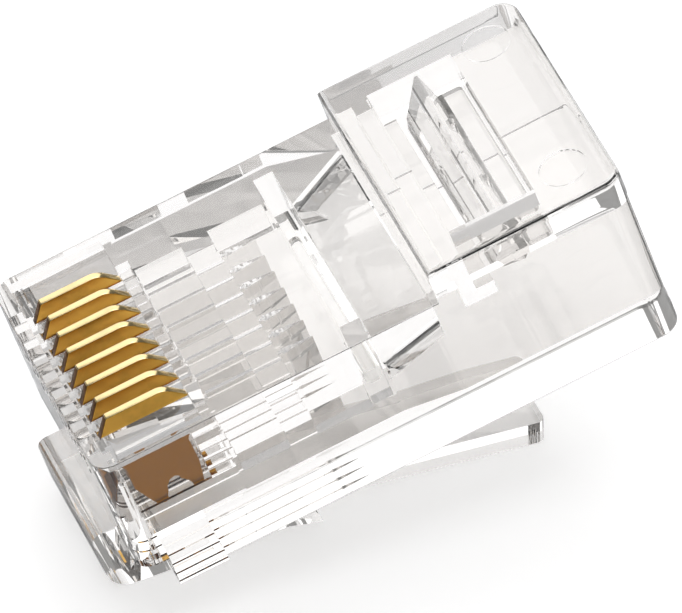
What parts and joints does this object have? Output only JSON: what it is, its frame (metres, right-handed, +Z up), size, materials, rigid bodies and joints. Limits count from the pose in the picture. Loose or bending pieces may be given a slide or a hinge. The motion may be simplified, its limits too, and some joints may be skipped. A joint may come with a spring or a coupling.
{
  "type": "modular plug",
  "caption": "Clear modular data plug, not yet crimped: a moulded shell with gold contact blades, a spring latch underneath, a stepped cable end and an open cable mouth.",
  "frame": {"origin": "centre of the base of the bounding box, on the table that the plug rests on", "axes": "+X from the nose to the cable end, along the table; +Y across the plug; +Z up. The plug rests latch down, tipped nose down on its chin and the end of its latch lever"},
  "size_m": [0.0228, 0.0116, 0.015],
  "materials": {
    "clear_polycarbonate": "clear, polished mould finish",
    "gold_plated_bronze": "gold plated, bright"
  },
  "bodies": {
    "housing": {"housing": "clear_polycarbonate"},
    "latch": {"latch": "clear_polycarbonate"},
    "jacket_clamp": {"jacket_clamp": "clear_polycarbonate"},
    "conductor_clamp": {"conductor_clamp": "clear_polycarbonate"},
    "contact_1": {"contact_1": "gold_plated_bronze"},
    "contact_2": {"contact_2": "gold_plated_bronze"},
    "contact_3": {"contact_3": "gold_plated_bronze"},
    "contact_4": {"contact_4": "gold_plated_bronze"},
    "contact_5": {"contact_5": "gold_plated_bronze"},
    "contact_6": {"contact_6": "gold_plated_bronze"},
    "contact_7": {"contact_7": "gold_plated_bronze"},
    "contact_8": {"contact_8": "gold_plated_bronze"}
  },
  "joints": [
    {"name": "latch_flex", "type": "hinge", "parent": "housing", "child": "latch", "pos_m": [-0.00765, 0, 0.0006], "axis": [0, -1, 0], "range_deg": [0, 13], "stiffness_Nm_per_rad": 0.35},
    {"name": "jacket_clamp_fold", "type": "hinge", "parent": "housing", "child": "jacket_clamp", "pos_m": [0.00664, 0, 0.01254], "axis": [0, -1, 0], "range_deg": [0, 24]},
    {"name": "conductor_clamp_press", "type": "slide", "parent": "housing", "child": "conductor_clamp", "axis": [0.252, 0, -0.9677], "range_m": [0, 0.0009]},
    {"name": "contact_1_press", "type": "slide", "parent": "housing", "child": "contact_1", "axis": [0.252, 0, -0.9677], "range_m": [0, 0.00085]},
    {"name": "contact_2_press", "type": "slide", "parent": "housing", "child": "contact_2", "axis": [0.252, 0, -0.9677], "range_m": [0, 0.00085]},
    {"name": "contact_3_press", "type": "slide", "parent": "housing", "child": "contact_3", "axis": [0.252, 0, -0.9677], "range_m": [0, 0.00085]},
    {"name": "contact_4_press", "type": "slide", "parent": "housing", "child": "contact_4", "axis": [0.252, 0, -0.9677], "range_m": [0, 0.00085]},
    {"name": "contact_5_press", "type": "slide", "parent": "housing", "child": "contact_5", "axis": [0.252, 0, -0.9677], "range_m": [0, 0.00085]},
    {"name": "contact_6_press", "type": "slide", "parent": "housing", "child": "contact_6", "axis": [0.252, 0, -0.9677], "range_m": [0, 0.00085]},
    {"name": "contact_7_press", "type": "slide", "parent": "housing", "child": "contact_7", "axis": [0.252, 0, -0.9677], "range_m": [0, 0.00085]},
    {"name": "contact_8_press", "type": "slide", "parent": "housing", "child": "contact_8", "axis": [0.252, 0, -0.9677], "range_m": [0, 0.00085]}
  ]
}
